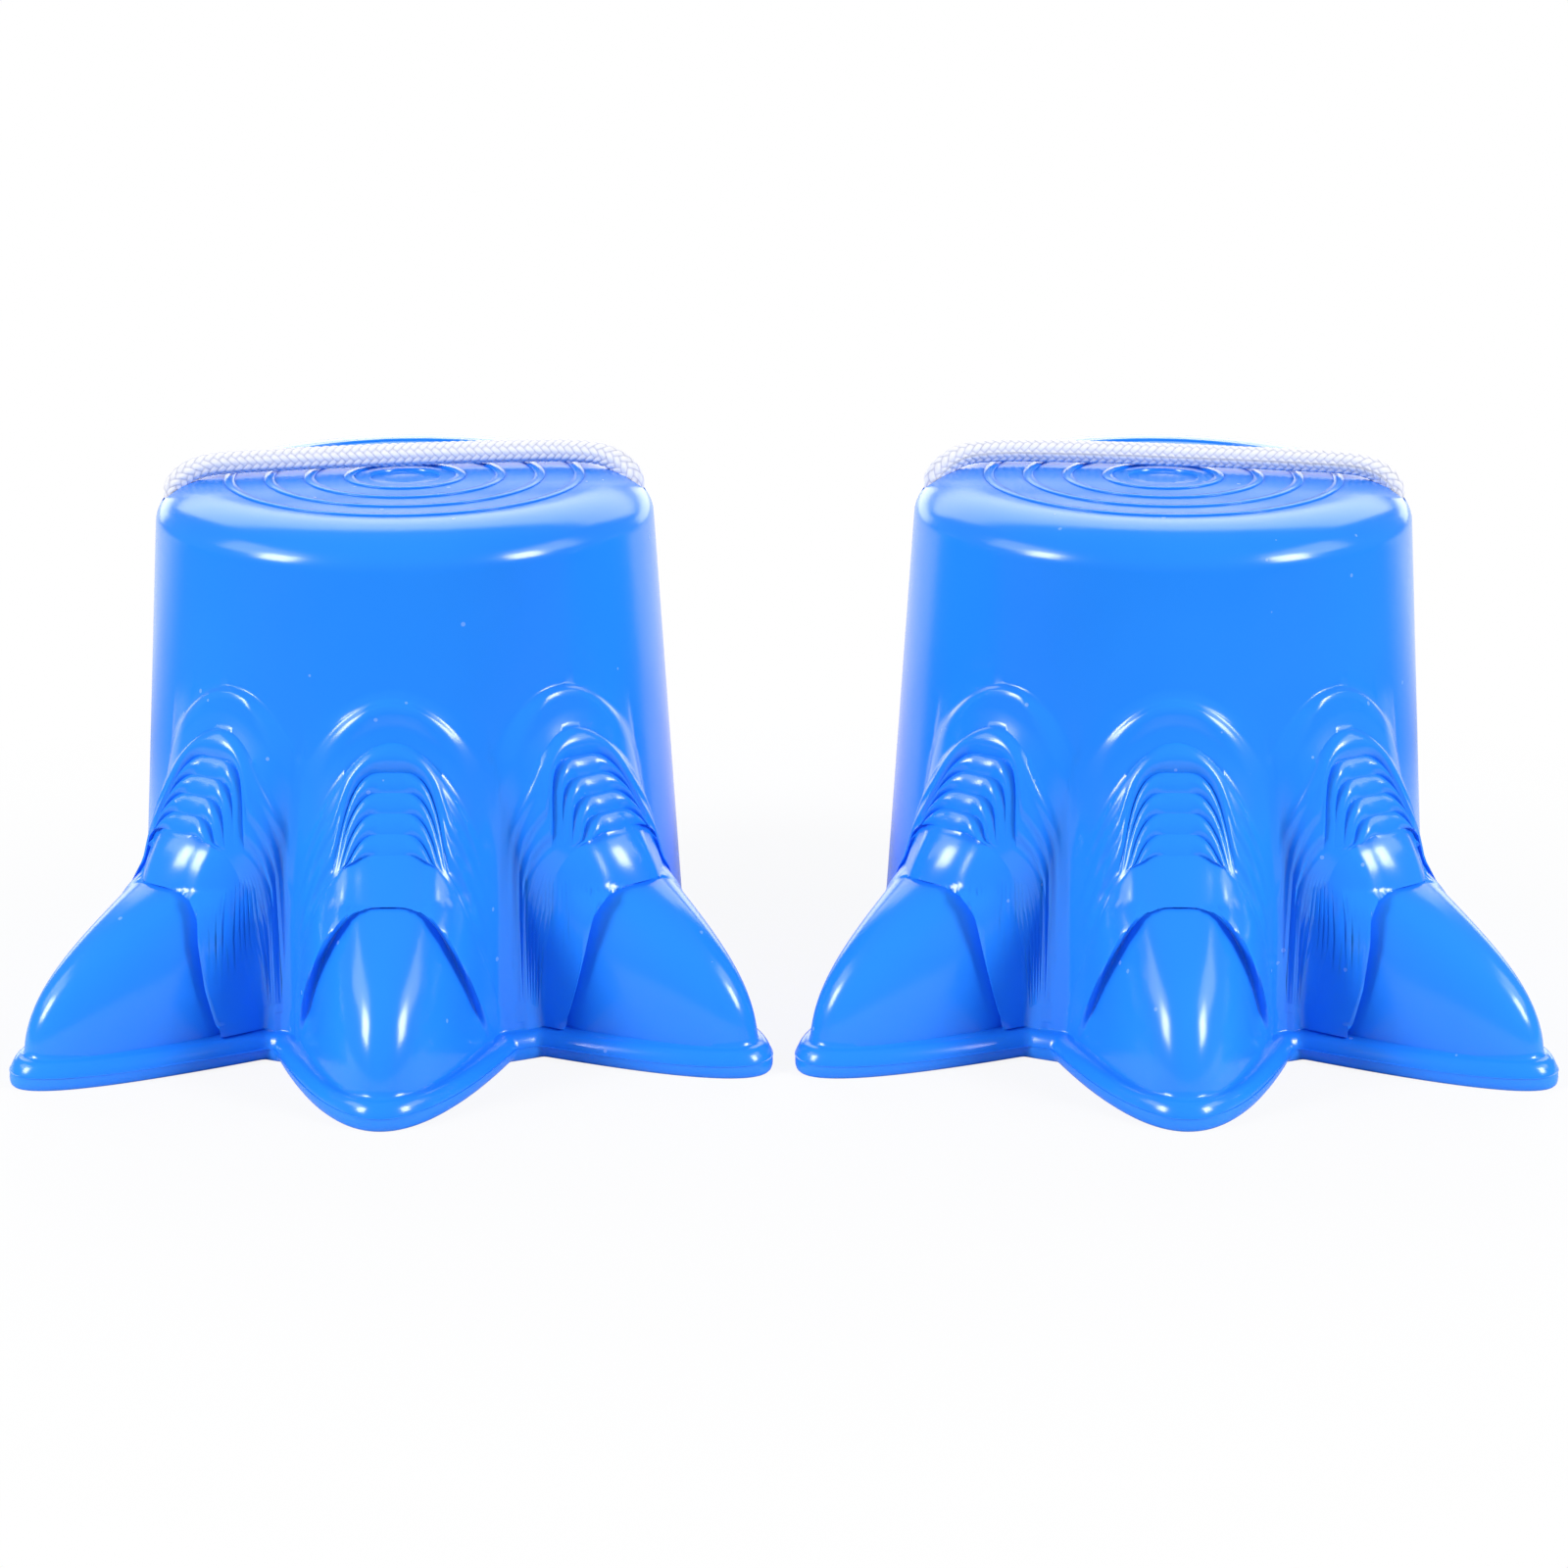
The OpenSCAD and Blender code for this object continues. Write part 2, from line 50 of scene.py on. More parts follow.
camera = bpy.data.objects.new("camera", bpy.data.cameras.new("camera"))
bpy.context.collection.objects.link(camera)
camera.data.sensor_width = sensor_mm
camera.data.lens = lens_px / picture_px * sensor_mm
camera.location = camera_at
camera.rotation_euler = (math.pi / 2 - look_down, 0, 0)
bpy.context.scene.camera = camera


# ---- Ropes ----
# Each stilt has one hand rope, a braided white polyester cord 5 mm thick. It is knotted under
# the outer hole, runs across the tread and down the inner hole, and is put away inside the cup,
# in a flat coil on the floor that ends in a second knot.

mm = 0.001
stilts = ((-1, "left"), (1, "right"))
# where the left stilt's axis stands, in mm, and how far its toes are turned in
stilt_x, stilt_y, toe_in = -91.5, 19.88, math.radians(1.2)
# the cord's thickness, and the steps of its swept line and of the path that goes with it
cord_d, fine_step, path_step = 5.0, 0.5, 3.0
# the plait: pairs of strands, length of one turn of a strand and its height, in metres
strand_pairs, lay_length, strand_height = 8, 0.0165, 0.0003

# the route on the left stilt's own axis, from the stopper knot to the start of the coil, in mm
cord_route = [
    (-52.4, -0.9, 118.5), (-53.8, -0.9, 120.5), (-55.3, -1, 122.6), (-55.3, -1, 124.9),
    (-53.6, -1, 127.1), (-50.8, -0.9, 129), (-47, -0.4, 130.1), (-42, 0.7, 130.4),
    (-36, 2.2, 130.4), (-26, 4.4, 130.4), (-13, 6.8, 130.4), (0, 8.9, 130.4),
    (13, 10.8, 130.4), (26, 12.2, 130.4), (36, 12.6, 130.4), (42.5, 11.4, 130.4),
    (47, 10.4, 130), (50.4, 9.4, 128.8), (53, 8.6, 127), (54.7, 8, 124.9),
    (54.8, 7.7, 122.6), (53.3, 7.5, 120.5), (51.9, 7.3, 118.5), (50.8, 8.2, 115),
    (50.3, 9.6, 110), (50.5, 10.8, 98), (50.8, 11, 84), (51, 11, 70), (51.4, 11, 56),
    (51.8, 11, 42), (52.2, 11.4, 30), (52.4, 13, 20), (51.4, 16.4, 12), (47.4, 21.4, 6),
    (40, 26.4, 3.4), (31, 29.6, 3)]
# the way down and inwards through the outer hole
hole_way = np.array([0.5735, 0.0100, -0.8192])

# the coil, in mm: its turns and their pitch, its outer radius, centre, height and first angle
coil_turns, coil_pitch, coil_r = 5.25, 5.8, 36
coil_x, coil_y, coil_z, coil_start = 6, -2, 3, math.radians(80)
# how far the end of the cord leaves it, outwards and down
end_out, end_down = 6.5, 3.05


def lerp(a, b, t):
    return a + (b - a) * t


def soft_step(t):
    t = np.clip(t, 0, 1)
    return t * t * (3 - 2 * t)


def soft_max(a, b, width):
    """The larger of two values, rounded where they are alike."""
    h = np.clip((a - b + width) / (2 * width), 0, 1)
    return lerp(b, a, h) + width * h * (1 - h)


def wound(turn):
    """The coil's centre line: inwards on the floor, then out again on a second layer."""
    # in turns: the bend half way, the climb to the second layer and the way out
    bend, climb, way_out = 0.08, 0.5, 0.14
    inward = -soft_max(-turn, turn - coil_turns, bend)
    rise = soft_step((turn - coil_turns / 2) / climb + 0.5)
    leave = soft_step((turn - coil_turns) / way_out + 1)
    r = coil_r - coil_pitch * inward + end_out * leave
    a = coil_start + 2 * math.pi * turn
    z = coil_z + coil_pitch * rise - end_down * leave ** 2
    return np.stack([coil_x + r * np.cos(a), coil_y + r * np.sin(a), z], axis=-1)


def level(v):
    return np.array([v[0], v[1], 0]) / math.hypot(v[0], v[1])


coil = wound(np.linspace(0, coil_turns, 127))
coil_in = level((-math.sin(coil_start), math.cos(coil_start)))
coil_out = level(coil[-1] - coil[-2])
coil_end = coil[-1] + coil_out * cord_d
cord_points = np.vstack([cord_route, coil[0] - coil_in * cord_d, coil, coil_end])


def smooth_line(points, step):
    """A smooth curve through the points, cut into even steps."""
    p = np.vstack([2 * points[0] - points[1], points, 2 * points[-1] - points[-2]])
    spans = np.linalg.norm(np.diff(p, axis=0), axis=1) ** 0.5
    knots = np.concatenate([[0], np.cumsum(spans)])
    out = []
    for i in range(1, len(p) - 2):
        k0, k1, k2, k3 = knots[i - 1:i + 3]
        t = np.linspace(k1, k2, 12, endpoint=False)[:, None]
        a1 = (k1 - t) / (k1 - k0) * p[i - 1] + (t - k0) / (k1 - k0) * p[i]
        a2 = (k2 - t) / (k2 - k1) * p[i] + (t - k1) / (k2 - k1) * p[i + 1]
        a3 = (k3 - t) / (k3 - k2) * p[i + 1] + (t - k2) / (k3 - k2) * p[i + 2]
        b1 = (k2 - t) / (k2 - k0) * a1 + (t - k0) / (k2 - k0) * a2
        b2 = (k3 - t) / (k3 - k1) * a2 + (t - k1) / (k3 - k1) * a3
        out.append((k2 - t) / (k2 - k1) * b1 + (t - k1) / (k2 - k1) * b2)
    fine = np.vstack(out + [p[-2][None]])
    run = np.concatenate([[0], np.cumsum(np.linalg.norm(np.diff(fine, axis=0), axis=1))])
    even = np.linspace(0, run[-1], int(round(run[-1] / step)) + 1)
    return np.stack([np.interp(even, run, fine[:, k]) for k in range(3)], axis=1)


def stand(points, side):
    """From a stilt's own axis, in mm, to the row frame, in metres; the right stilt mirrors it."""
    p = np.asarray(points, float)
    x = p[..., 0] * math.cos(toe_in) - p[..., 1] * math.sin(toe_in) + stilt_x
    y = p[..., 0] * math.sin(toe_in) + p[..., 1] * math.cos(toe_in) + stilt_y
    return np.stack([-side * x, y, p[..., 2]], axis=-1) * mm


class Wire:
    """A value in a node tree. Sums, products and powers of wires add their Math nodes."""

    def __init__(self, tree, socket):
        self.tree, self.socket = tree, socket

    def maths(self, operation, *others):
        values = dict(enumerate((self,) + others))
        return self.tree.wire("ShaderNodeMath", {"operation": operation}, values)

    def __add__(self, other):
        return self.maths("ADD", other)

    def __sub__(self, other):
        return self.maths("SUBTRACT", other)

    def __rsub__(self, other):
        return self.tree.wire("ShaderNodeMath", {"operation": "SUBTRACT"}, {0: other, 1: self})

    def __mul__(self, other):
        return self.maths("MULTIPLY", other)

    def __truediv__(self, other):
        return self.maths("DIVIDE", other)

    def __pow__(self, other):
        return self.maths("POWER", other)

    def __mod__(self, other):
        return self.maths("FLOORED_MODULO", other)

    def __lt__(self, other):
        return self.maths("LESS_THAN", other)

    def __gt__(self, other):
        return self.maths("GREATER_THAN", other)

    __radd__, __rmul__ = __add__, __mul__


class Tree:
    """A node tree for a material, the world or Geometry Nodes, filled one node at a time."""

    def __init__(self, tree):
        self.tree = tree

    def add(self, kind, settings=None, values=None):
        """One node: settings first, then the values or wires of its sockets, by name or number."""
        made = self.tree.nodes.new(kind)
        for name, value in (settings or {}).items():
            if name == "stops":
                stops = made.color_ramp.elements
                for spare in list(stops)[1:]:
                    stops.remove(spare)
                for i, (place, grey) in enumerate(value):
                    stop = stops[0] if i == 0 else stops.new(place)
                    stop.position, stop.color = place, (grey, grey, grey, 1)
            else:
                setattr(made, name, value)
        for name, value in (values or {}).items():
            socket = made.inputs[name]
            if isinstance(value, Wire):
                self.tree.links.new(value.socket, socket)
            else:
                socket.default_value = value
        return made

    def wire(self, kind, settings=None, values=None, output=0):
        return Wire(self, self.add(kind, settings, values).outputs[output])

    def noise(self, place, scale, detail, roughness=0.5):
        return self.wire("ShaderNodeTexNoise", None, {
            "Vector": place, "Scale": scale, "Detail": detail, "Roughness": roughness})

    def mix(self, share, colour, other, blend="MIX"):
        return self.wire("ShaderNodeMix", {"data_type": "RGBA", "blend_type": blend},
                         {0: share, 6: colour, 7: other}, 2)


def empty_tree(owner):
    """The node tree of a material or the world, with nothing in it."""
    owner.use_nodes = True
    owner.node_tree.nodes.clear()
    return Tree(owner.node_tree)


def geometry_tree(name, inputs, output):
    """A Geometry Nodes group with named inputs, and a wire from each of them."""
    group = bpy.data.node_groups.new(name, "GeometryNodeTree")
    for label, kind, value in inputs:
        socket = group.interface.new_socket(
            label, in_out="INPUT", socket_type="NodeSocket" + kind)
        if value is not None:
            socket.default_value = value
    group.interface.new_socket(output, in_out="OUTPUT", socket_type="NodeSocketGeometry")
    tree = Tree(group)
    given = group.nodes.new("NodeGroupInput")
    return tree, [Wire(tree, socket) for socket in given.outputs[:len(inputs)]]


def finish_group(tree, shape, finish):
    """Smooth shading, real geometry and the material, which every group ends in."""
    smooth = tree.wire("GeometryNodeSetShadeSmooth", None, {0: shape})
    real = tree.wire("GeometryNodeRealizeInstances", None, {0: smooth})
    dressed = tree.wire("GeometryNodeSetMaterial", None, {"Geometry": real, "Material": finish})
    tree.tree.links.new(dressed.socket, tree.tree.nodes.new("NodeGroupOutput").inputs[0])
    return tree.tree


def braid_height(around, along, pairs, lay):
    """Height of a plait: two sets of strands wind opposite ways, each over two and under two."""
    left = around * pairs + along / lay * pairs
    right = around * pairs - along / lay * pairs
    left_no, right_no = left.maths("FLOOR"), right.maths("FLOOR")
    on_top = (left_no + right_no) % 4 < 1.5
    left_run = ((right + left_no) % 4) / 2
    right_run = ((left + right_no + 2) % 4) / 2

    def hump(across, run):
        ridge = 1 - (2 * across.maths("FRACT") - 1) ** 2
        bow = (run.maths("MINIMUM", 1) * math.pi).maths("SINE")
        return ridge.maths("SQRT") * (0.25 + 0.75 * bow.maths("MAXIMUM", 0))

    return on_top * hump(left, left_run) + (1 - on_top) * hump(right, right_run)


def braid_group():
    """Geometry Nodes that sweep a round cord along a curve and raise its plaited strands."""
    tree, (line, diameter, pairs, lay, height, finish) = geometry_tree("braided_cord", (
        ("Line", "Geometry", None), ("Diameter", "Float", cord_d * mm),
        ("Strand pairs", "Float", strand_pairs), ("Lay length", "Float", lay_length),
        ("Strand height", "Float", strand_height), ("Finish", "Material", None)), "Cord")

    def kept(shape, name, output):
        """Stores how far along its curve each point is."""
        place = tree.wire("GeometryNodeSplineParameter", output=output)
        return tree.wire("GeometryNodeStoreNamedAttribute",
                         {"data_type": "FLOAT", "domain": "POINT"},
                         {"Geometry": shape, "Name": name, 3: place})

    ring = tree.wire("GeometryNodeCurvePrimitiveCircle", {"mode": "RADIUS"},
                     {"Resolution": 32, "Radius": diameter / 2})
    tube = tree.wire("GeometryNodeCurveToMesh", None, {
        "Curve": kept(line, "along", "Length"), "Profile Curve": kept(ring, "around", "Factor"),
        "Fill Caps": True})
    around, along = (tree.wire("GeometryNodeInputNamedAttribute", {"data_type": "FLOAT"},
                               {"Name": name}) for name in ("around", "along"))
    rise = braid_height(around, along, pairs, lay) * height
    normal = tree.wire("GeometryNodeInputNormal")
    push = tree.wire("ShaderNodeVectorMath", {"operation": "SCALE"}, {0: normal, "Scale": rise})
    raised = tree.wire("GeometryNodeSetPosition", None, {"Geometry": tube, "Offset": push})
    return finish_group(tree, raised, finish)


def cord_material():
    """White polyester yarn: matt and fuzzy, with fine threads, and painted shade in the dips
    between the strands.
    """
    made = bpy.data.materials.new("braided_white_polyester")
    tree = empty_tree(made)
    around, along = (tree.wire("ShaderNodeAttribute", {"attribute_name": name}, None, "Fac")
                     for name in ("around", "along"))
    height = braid_height(around, along, strand_pairs, lay_length)
    place = tree.wire("ShaderNodeTexCoord", output="Object")
    fuzz, threads = tree.noise(place, 2600, 3, 0.6), tree.noise(place, 900, 2)
    # painted shade: the dips between the strands are lavender grey, where the cord lies in shade;
    # the tops of the strands keep the yarn's white
    painted_dip_shade, on_strands = (0.50, 0.52, 0.66, 1), (0.88, 0.88, 0.91, 1)
    shade = tree.mix((height * 1.6).maths("MINIMUM", 1), painted_dip_shade, on_strands)
    lines = tree.wire("ShaderNodeValToRGB", {"stops": [(0.3, 0.5), (0.7, 1)]}, {0: threads})
    colour = tree.mix(0.12, shade, lines, "MULTIPLY")
    bump = tree.wire("ShaderNodeBump", None, {
        "Strength": 0.6, "Distance": 0.0003, "Height": height + fuzz * 0.35})
    surface = tree.wire("ShaderNodeBsdfPrincipled", None, {
        "Base Color": colour, "Roughness": 0.85, "Sheen Weight": 0.25, "Sheen Roughness": 0.5,
        "Specular IOR Level": 0.25, "Normal": bump})
    tree.add("ShaderNodeOutputMaterial", None, {0: surface})
    return made


def curve_object(name, *lines):
    """A curve object with one open spline through each set of points, in the row frame."""
    data = bpy.data.curves.new(name, "CURVE")
    data.dimensions = "3D"
    for points in lines:
        spline = data.splines.new("POLY")
        spline.points.add(len(points) - 1)
        spline.points.foreach_set("co", np.column_stack([points, np.ones(len(points))]).ravel())
    made = bpy.data.objects.new(name, data)
    bpy.context.collection.objects.link(made)
    return made


def plain_mesh(maker):
    """The mesh that an object gives with its modifiers."""
    bpy.context.view_layer.update()
    depsgraph = bpy.context.evaluated_depsgraph_get()
    return bpy.data.meshes.new_from_object(maker.evaluated_get(depsgraph))


def grown(maker, group, settings):
    """The plain mesh that Geometry Nodes make from an object, which it then replaces."""
    modifier = maker.modifiers.new("nodes", "NODES")
    modifier.node_group = group
    sockets = {s.name: s.identifier for s in group.interface.items_tree if s.in_out == "INPUT"}
    for name, value in settings.items():
        modifier[sockets[name]] = value
    mesh, name = plain_mesh(maker), maker.name
    bpy.data.objects.remove(maker)
    made = bpy.data.objects.new(name, mesh)
    bpy.context.collection.objects.link(made)
    return made


def wrapped_knot(start, way, across):
    """Centre lines of a stopper knot: the cord runs in, is wound round itself and comes out."""
    turns, points_a_turn, wrap_r, length = 2, 28, 3.25, 9.0
    way, across = np.array(way), np.array(across)
    across = across - way * (across @ way)
    across /= np.linalg.norm(across)
    third = np.cross(way, across)
    wraps = [start + way * (length + 0.4) + across * wrap_r * 0.4]
    for s in np.linspace(0, turns, turns * points_a_turn):
        a = 2 * math.pi * s
        wraps.append(start + way * (length - 1.6 - (length - 3.4) * s / turns)
                     + wrap_r * (across * math.cos(a) + third * math.sin(a)))
    last = wraps[-1] - start
    middle = start + way * (length * 0.5) + (last - way * (last @ way)) * 0.3
    tail = [start + way * (length + on) - across * aside
            for on, aside in ((1, 0.9), (4.5, 1.2), (8.8, 0.8))]
    run_in = [start, start + way * 1.5, start + way * 3 - across * 0.5]
    return np.vstack(run_in), np.vstack(wraps), np.vstack([middle] + tail)


rope_white = cord_material()
braid = braid_group()
cord_line = smooth_line(cord_points, fine_step)
knot_d = 0.9 * cord_d
for side, name in stilts:
    rope = grown(curve_object(name + "_hand_rope", stand(cord_line, side)), braid,
                 {"Diameter": cord_d * mm, "Finish": rope_white})
    for knot, start, way, across in (("stopper", cord_line[0], hole_way, (0.3, -1, 0)),
                                     ("end", coil_end, coil_out, (0, 0, 1))):
        lines = [stand(smooth_line(part, fine_step), side)
                 for part in wrapped_knot(start, way, across)]
        wound_knot = grown(curve_object(f"{name}_{knot}_knot_wound", *lines), braid,
                           {"Diameter": knot_d * mm, "Finish": rope_white})
        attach(wound_knot, name + "_stilt")
        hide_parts(f"{name}_{knot}_knot")
    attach(rope, name + "_stilt")
    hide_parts(name + "_rope", name + "_coil")


# ---- Shells ----
# Each stilt is one hollow moulding in glossy blue polypropylene: a cup with a flat tread, three
# clawed toes that swell out of arches in its wall, and a rounded bead round the open bottom.
# Its rows of points follow the creases of the skin, which keeps folds and lips sharp.

# sizes in mm; the outer, middle and inner toe are numbered -1, 0 and 1
toes = (-1, 0, 1)
tread_h, tread_r, wall_r, shoulder_drop, wall_t = 127.0, 44.8, 60.0, 9.6, 2.2
shoulder_z, draft = tread_h - shoulder_drop, math.tan(math.radians(3.64))
rim_h, rim_out = 6.6, 3.1
foot_z = rim_h + 0.2 * wall_t

# toes: arch over them, claws below, how far they reach, turn and widen
arch_h, arch_focus, claw_h, claw_out, lip_out = 88.0, 29.4, 41.5, 15.0, 1.0
claw_top = {-1: claw_h, 0: claw_h + 1.8, 1: claw_h}
toe_reach = {-1: 115.5, 0: 106.7, 1: 109.8}
toe_gap, toe_turn, toe_curl = 41.5, {-1: -6.4, 0: -1.1, 1: 7.4}, 1.8
claw_curve, flesh_curve = 2.2, {-1: 1.3, 0: 2.2, 1: 1.3}
# half widths in degrees: at the floor, and at the arch, where the side of a side toe that
# looks away from the middle toe is narrower than every other side
foot_half, far_half, near_half = {-1: 18.2, 0: 20.5, 1: 18.2}, 16.0, 22.5
# rounding between toe and cup, and the greatest half width of a toe
toe_blend, half_toe = 1.2, 36

# skin: heights of the knuckle and fold, the wrinkles between them, and how far each stands out
knuckle_top, knuckle_foot, fold_top = 0.89 * arch_h, 0.813 * arch_h, 0.612 * arch_h
wrinkles = 4
wrinkle_pitch = (knuckle_foot - fold_top) / wrinkles
arch_step, arch_ridge, knuckle_out, wrinkle_out, fold_out = 1.0, 0.5, 1.7, 1.3, 1.3
fold_under, pleats, pleat_out, lip_bump, claw_dip = 2.4, 3, 0.2, 0.3, 1.1

# creases: sideways shift of a side toe's towards the middle toe, by height, and how they fall
# beside the spine; a lip falls slowly at first, and at its reach runs down to the rim
lean_heights, lean = [claw_h, fold_top, knuckle_foot, arch_h], [1.5, 2.0, 5.0, 4.2]
lip_fall, lip_reach = {-1: 450, 0: 275, 1: 450}, {-1: 17.5, 0: 40, 1: 18.6}
leg_drop, leg_power, knuckle_focus = 24, 12, 16
wrinkle_fall, wrinkle_gap, wrinkle_blend = 1200, 0.07, 0.8
# a crease is found by halving a span of heights; far from every toe these stand for it
halvings, no_crease, no_spine = 26, 400.0, 200.0


def cup_r(z):
    return wall_r + (shoulder_z - z) * draft


def toe_deg(z, toe):
    return toe * toe_gap + toe_turn[toe] * (1 - np.clip(z / arch_h, 0, 1) ** toe_curl)


def roll(t):
    """Round roll of skin between two creases, with its crest a little below its middle."""
    lean_down, fullness = 0.8, 0.85
    return np.maximum(np.sin(np.pi * np.clip(t, 0, 1) ** lean_down), 0) ** fullness


def fold_roll(c):
    return fold_out * roll((fold_top - c) / (fold_top - claw_h + fold_under))


flesh_out = claw_out + lip_out - arch_step - fold_roll(claw_h)


def spine_out(z, toe):
    """How far the spine of a toe stands out from the wall."""
    top = claw_top[toe]
    t = (top - z) / (top - foot_z)
    full = toe_reach[toe] - cup_r(foot_z) - claw_out
    bow = np.where(t < 1, 1 - np.clip(1 - t, 0, None) ** claw_curve,
                   1 + np.clip(t - 1, 0, None) ** claw_curve)
    flesh = flesh_out * np.clip((arch_h - z) / (arch_h - top), 0, 1) ** flesh_curve[toe]
    return np.where(z < top, claw_out + full * bow, flesh)


def toe_r(deg, z, toe, grow):
    """Radius of one toe in a direction: a parabola in section, which meets the cup at its edges."""
    d = deg - toe_deg(z, toe)
    d = np.radians(d - 360 * np.round(d / 360))
    c, s = np.cos(d), np.sin(d)
    high = np.where(s * toe > 0, far_half, near_half)
    arch = np.sqrt(arch_focus * np.maximum(0, arch_h - z)) / wall_r
    arch = np.degrees(np.arcsin(np.clip(arch, 0, 1)))
    edge = np.minimum(lerp(foot_half[toe], high, np.clip(z / arch_h, 0, 1)), arch)
    edge = np.radians(edge) + grow / wall_r
    edge_r = cup_r(z) + grow
    tip = edge_r + spine_out(z, toe)
    v = edge_r * np.sin(edge)
    # the least values only keep the divisions away from nought
    focus = v * v / np.maximum(tip - edge_r * np.cos(edge), 0.01)
    root = np.sqrt(c * c + 4 * tip * s * s / np.maximum(focus, 1e-6))
    inside = 2 * tip / np.maximum(c + root, 1e-9)
    past = edge_r * (1 - 2 * np.sin(np.abs(d) - edge))
    return np.where((c <= 0) | (edge <= 0), 0, np.where(np.abs(d) >= edge, past, inside))


def body_r(deg, z, grow):
    """Radius of the cup with its three toes."""
    r = cup_r(z) + grow
    for toe in toes:
        r = soft_max(toe_r(deg, z, toe, grow), r, toe_blend)
    return r


def lip_line(height, v, toe, flatter=1, wider=0):
    """Height of a lip beside the spine."""
    leg = leg_drop * (v / (lip_reach[toe] + wider)) ** leg_power
    return height - np.abs(v) ** 3 / lip_fall[toe] / flatter - leg


def crease_z(c, v, toe):
    """Height of a crease beside the spine, where it has height c: arches above, lips below."""
    lip = lip_line(claw_h, v, toe)
    top = lip_line(fold_top, v, toe, flatter=1.3, wider=1.5)
    knuckle = knuckle_top - v * v / knuckle_focus
    arch = arch_h - v * v / arch_focus
    foot = np.where(c > fold_top, c, knuckle_foot)
    wrinkle = soft_max(np.minimum(foot, knuckle_foot) - v ** 4 / wrinkle_fall,
                       top + wrinkle_gap * (foot - fold_top), wrinkle_blend)
    above = c - np.clip((shoulder_z - c) / (shoulder_z - arch_h), 0, 1) * v * v / arch_focus
    z = np.where(c < claw_h, c + lip - claw_h,
                 lerp(lip, top, (c - claw_h) / (fold_top - claw_h)))
    z = np.where(c < fold_top, z, wrinkle)
    z = np.where(c < knuckle_foot, z,
                 lerp(wrinkle, knuckle, (c - knuckle_foot) / (knuckle_top - knuckle_foot)))
    z = np.where(c < knuckle_top, z,
                 lerp(knuckle, arch, (c - knuckle_top) / (arch_h - knuckle_top)))
    return np.where(c < arch_h, z, above)


def nearest_crease(deg, z, r):
    """The crease through a point: the distance sideways from the spine of the nearest toe, less
    than nothing on the side away from the middle toe, and the crease's height at that spine."""
    shape = np.broadcast(deg, z, r).shape
    crease, aside = np.full(shape, no_crease), np.full(shape, no_spine)
    for toe in toes:
        d = np.radians(deg - toe_deg(z, toe))
        across = np.clip(r * np.sin(d), -half_toe, half_toe) * (-toe if toe else 1)
        across = across + np.zeros(shape)
        low, high = np.zeros(shape) + z, np.full(shape, 2.0 * shoulder_z)
        for _ in range(halvings):
            c = (low + high) / 2
            over = crease_z(c, across - abs(toe) * np.interp(c, lean_heights, lean), toe) > z
            low, high = np.where(over, low, c), np.where(over, c, high)
        across = across - abs(toe) * np.interp(c, lean_heights, lean)
        if toe == 0:
            across, top = np.abs(across), claw_top[0]
            fold = fold_top - (fold_top - c) * (fold_top - claw_h) / (fold_top - top)
            c = np.where(c < top, c * claw_h / top, np.where(c < fold_top, fold, c))
        nearer = (np.cos(d) > 0) & (c < crease)
        crease, aside = np.where(nearer, c, crease), np.where(nearer, across, aside)
    return aside, crease


def rise(v, start, over):
    """Goes softly from 0 to 1 as v passes from start to start + over."""
    return soft_step((v - start) / over)


def fall(v, start, over):
    return 1 - soft_step((v - start) / over)


def below(c, height, over):
    """0 above a height, and softly 1 below it."""
    return soft_step((height - c) / over)


def bell(t, width):
    return np.exp(-(t / width) ** 2)


def skin_out(c, aside):
    """How far the skin stands out, by the height of its crease and the distance from the spine."""
    v = np.abs(aside)
    far = rise(-aside, 3, 7)
    # edges are sharp at the spine and soften beside it
    soften = 0.25 * np.maximum(v - 6, 0)
    # the arch: a step in the wall and a thin ridge along it
    out = arch_step * below(c, arch_h, 1.3 + soften) * fall(v, 12, 14)
    out = out + arch_ridge * bell(arch_h - 2.4 - c, 1.7) * fall(v, 8, 14)
    # fine pleats on both sides of the knuckle
    down = (knuckle_top - c) / (knuckle_top - knuckle_foot)
    out = out + (pleat_out * np.sin(2 * np.pi * pleats * down) * rise(v, 10, 3) * fall(v, 17, 6)
                 * ((down > 0) & (down < 1)))
    # a plateau beside the wrinkles, which carries them over to the fold
    out = out + (0.6 * wrinkle_out * rise(v, 7, 4) * fall(v, 12, 10)
                 * below(c, knuckle_foot + 4, 6))
    knuckle = knuckle_out * roll(down) * fall(v, 10, 12)
    wave = (knuckle_foot - c) / wrinkle_pitch
    wrinkle = wrinkle_out * roll(wave - np.floor(wave))
    wrinkle = wrinkle * (fall(v, 7.5, 4) * lerp(0.4, 1, rise(v, 2.5, 3.5)))
    fold = fold_roll(c) * (1 - 0.75 * rise(v, 6, 12))
    out = out + np.where(c > knuckle_foot, knuckle, np.where(c > fold_top, wrinkle, fold))
    # the lip over the claw; the side away from the middle toe is smoother
    out = out + lip_bump * bell(c - claw_h, 3.5) * rise(v, 6, 6) * fall(v, 22, 8)
    out = out * (1 - 0.8 * far * below(c, fold_top + 4, 6))
    # the claw is sunk a little under the lip
    dip = claw_dip * bell(c - claw_h, 11) * (1 - far)
    dip = dip * rise(v, 5, 8) * rise(c - v ** 3 / 300, 8, 9)
    return np.where(c > arch_h, 0, lerp(-dip, out, rise(c, claw_h, 0.5 + soften)))


def skin_at(deg, z):
    aside, crease = nearest_crease(deg, z, body_r(deg, z, 0))
    return skin_out(crease, aside)


